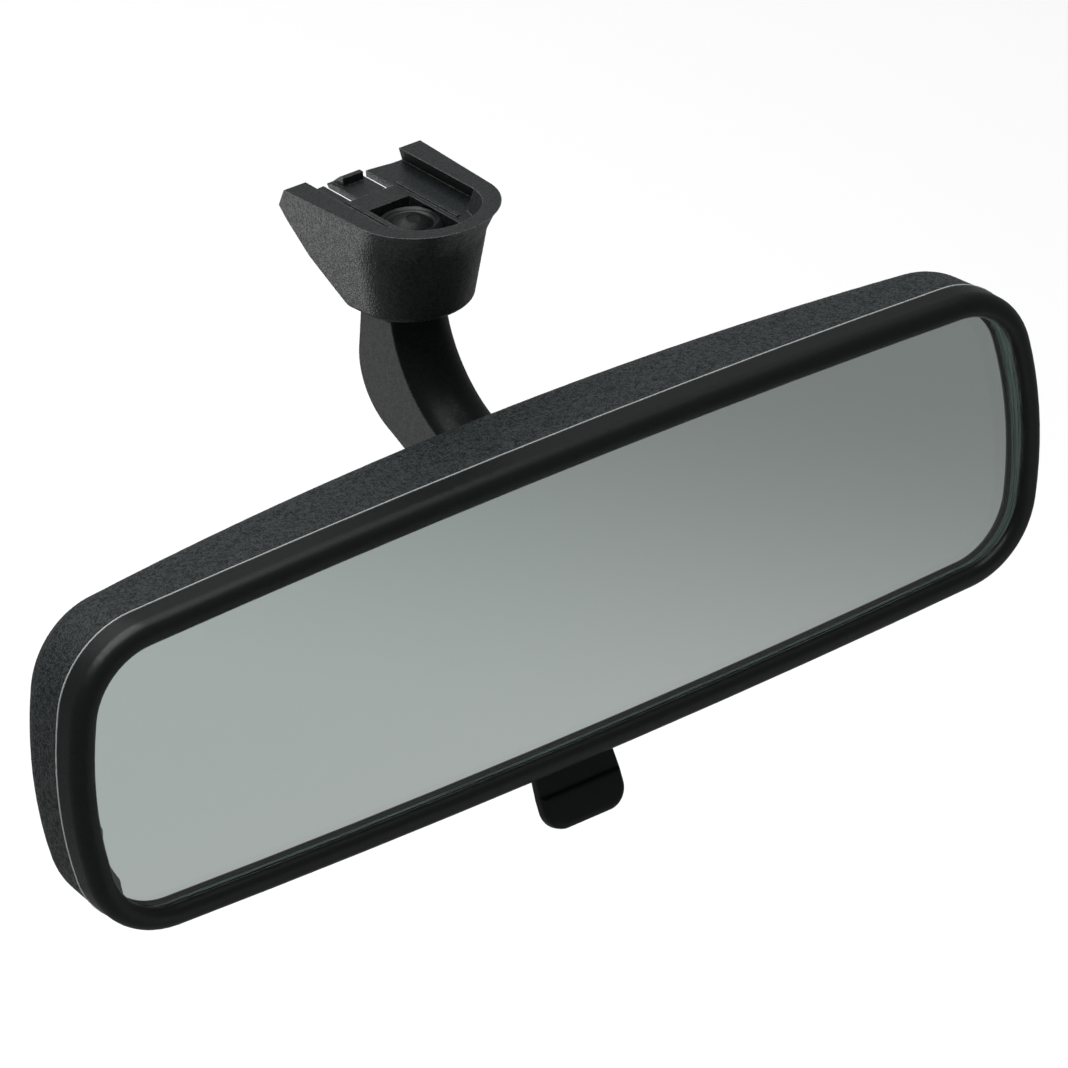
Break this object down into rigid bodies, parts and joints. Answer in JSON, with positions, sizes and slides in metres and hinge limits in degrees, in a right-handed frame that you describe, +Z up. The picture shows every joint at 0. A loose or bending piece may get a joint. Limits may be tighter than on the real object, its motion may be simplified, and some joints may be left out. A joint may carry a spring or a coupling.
{
  "type": "interior rearview mirror",
  "caption": "Interior rearview mirror: slide-on shoe, curved arm with a ball at each end, grained case, prism glass and a day/night toggle.",
  "frame": {"origin": "on the plane of the shoe's rail tops, at the centre of its round front end, between the rails", "axes": "+Z up, out of the rail tops; +X along the glass, to the right seen from the driver; +Y away from the driver, the way the button leaves the channel"},
  "size_m": [0.2318, 0.0733, 0.1209],
  "materials": {
    "grained_black": "fine pebble grain",
    "satin_black": "satin, smooth",
    "clear_glass": "polished, faint green",
    "mirror_silver": "silvered, back coated",
    "foam": "closed-cell foam",
    "acetal": "low friction, smooth",
    "carrier_plastic": "glass filled, matte",
    "ball_steel": "dark phosphate",
    "spring_steel": "rolled strip",
    "zinc_steel": "zinc plated"
  },
  "bodies": {
    "mount": {"mount_shoe": "grained_black"},
    "latch": {"latch_tongue": "grained_black"},
    "upper_cup": {"upper_ball_cup": "acetal"},
    "upper_liner": {"upper_ball_liner": "acetal"},
    "arm": {"arm": "satin_black", "upper_ball_stud": "ball_steel", "lower_ball_stud": "ball_steel"},
    "lower_liner": {"lower_ball_liner": "acetal"},
    "lower_cup": {"lower_ball_cup": "acetal"},
    "carrier": {"tilt_carrier": "carrier_plastic", "retaining_ring": "carrier_plastic", "ring_screws": "zinc_steel", "pressure_pad": "acetal", "pressure_spring": "spring_steel"},
    "case": {"back_shell": "grained_black", "bezel": "satin_black", "prism_glass": "clear_glass", "silver_coating": "mirror_silver", "backing_pad": "foam", "flip_pins": "zinc_steel", "lever_pin": "zinc_steel", "leaf_spring": "spring_steel", "leaf_screws": "zinc_steel"},
    "lever": {"toggle_lever": "satin_black", "crank_pin": "zinc_steel"}
  },
  "joints": [
    {"name": "latch_flex", "type": "hinge", "parent": "mount", "child": "latch", "pos_m": [0, 0.0167, -0.0049], "axis": [1, 0, 0], "range_deg": [-6, 0], "stiffness_Nm_per_rad": 1},
    {"name": "upper_yaw", "type": "hinge", "parent": "mount", "child": "upper_cup", "pos_m": [0, 0.004, -0.0102], "axis": [0, 0, 1], "range_deg": [-17, 17]},
    {"name": "upper_pitch", "type": "hinge", "parent": "upper_cup", "child": "upper_liner", "pos_m": [0, 0.004, -0.0102], "axis": [1, 0, 0], "range_deg": [-11, 11]},
    {"name": "upper_roll", "type": "hinge", "parent": "upper_liner", "child": "arm", "pos_m": [0, 0.004, -0.0102], "axis": [0, 1, 0], "range_deg": [-7, 7]},
    {"name": "lower_pitch", "type": "hinge", "parent": "arm", "child": "lower_liner", "pos_m": [0, -0.0265, -0.0578], "axis": [1, 0, 0], "range_deg": [-11, 14]},
    {"name": "lower_yaw", "type": "hinge", "parent": "lower_liner", "child": "lower_cup", "pos_m": [0, -0.0265, -0.0578], "axis": [0, 0, 1], "range_deg": [-14, 14]},
    {"name": "lower_roll", "type": "hinge", "parent": "lower_cup", "child": "carrier", "pos_m": [0, -0.0265, -0.0578], "axis": [0, 1, 0], "range_deg": [-9, 9]},
    {"name": "night_flip", "type": "hinge", "parent": "carrier", "child": "case", "pos_m": [0, -0.031, -0.0441], "axis": [1, 0, 0], "range_deg": [0, 4.62]},
    {"name": "lever_swing", "type": "hinge", "parent": "case", "child": "lever", "pos_m": [0, -0.033, -0.1006], "axis": [1, 0, 0], "range_deg": [0, 40]}
  ],
  "couplings": [
    {"joint": "lever_swing", "follows": "night_flip", "ratio": 8.64}
  ]
}
